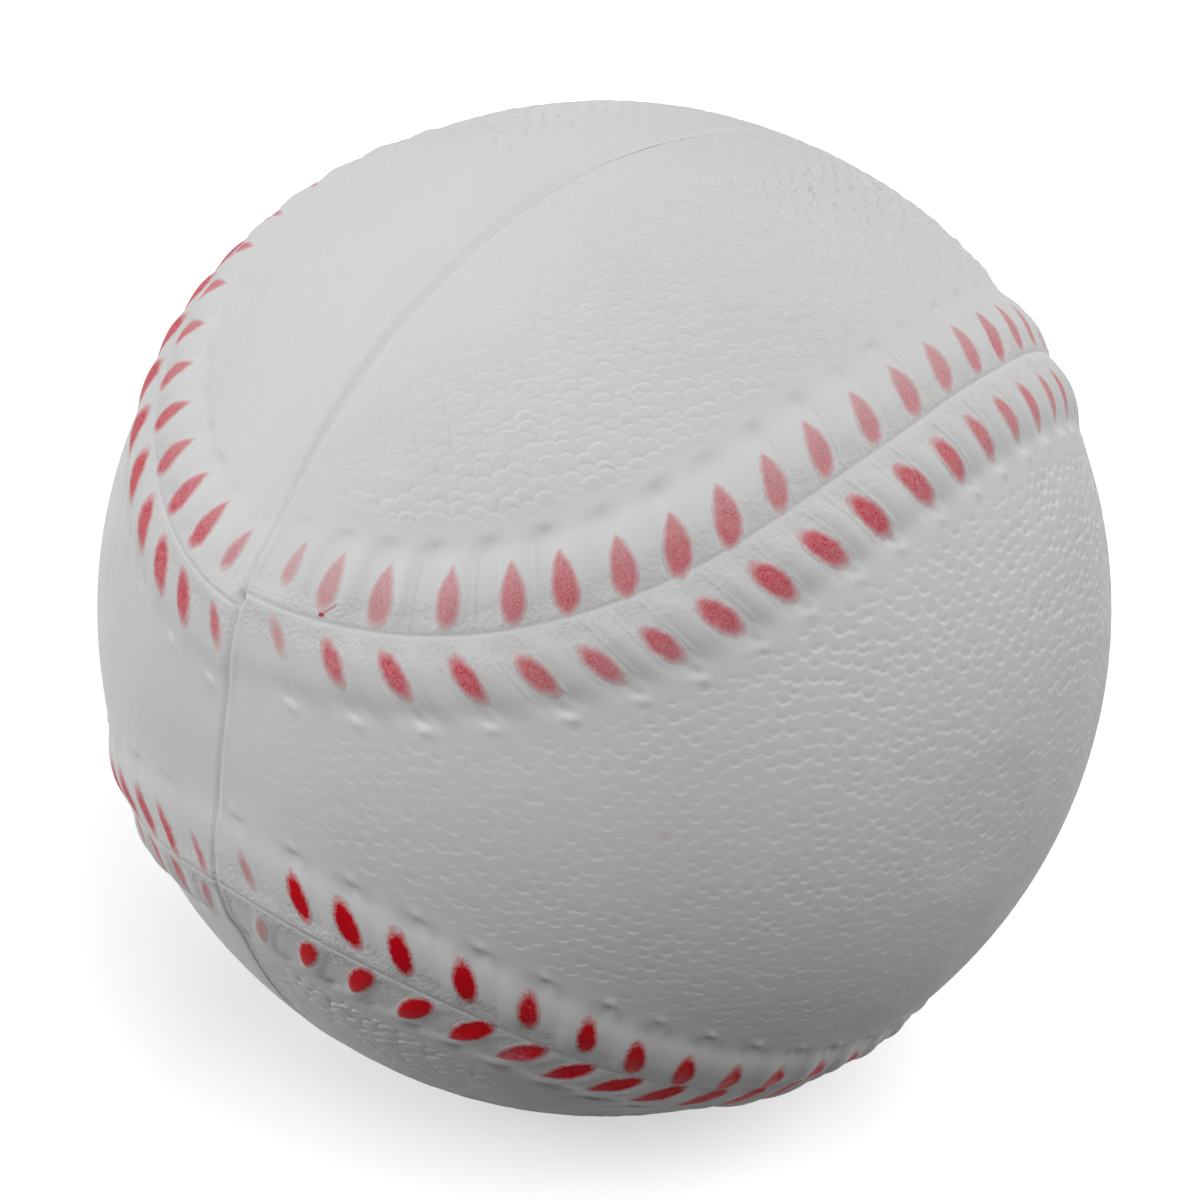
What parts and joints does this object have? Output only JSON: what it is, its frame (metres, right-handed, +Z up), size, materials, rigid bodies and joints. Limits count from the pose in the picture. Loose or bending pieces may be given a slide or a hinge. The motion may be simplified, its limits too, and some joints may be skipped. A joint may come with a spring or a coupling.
{
  "type": "baseball",
  "caption": "Soft foam play ball with a moulded figure-of-eight seam, rounded seam lips, slotted stitches and painted red stitch marks.",
  "frame": {"origin": "centre of the ball", "axes": "+Z up through the middles of two lobes of the cap panel; the mould's parting plane is XZ, with the front half of the skin on the -Y side; -X looks at the waist of the side panel"},
  "size_m": [0.072, 0.072, 0.072],
  "materials": {
    "foam": "open soft foam",
    "skin": "white moulded skin, satin, with pebble grain",
    "paint": "thin red paint with soft speckled edges"
  },
  "bodies": {
    "root": {"foam_core": "foam", "skin_front": "skin", "skin_rear": "skin", "paint_front_cap_row": "paint", "paint_front_side_row": "paint", "paint_rear_cap_row": "paint", "paint_rear_side_row": "paint"}
  },
  "joints": []
}
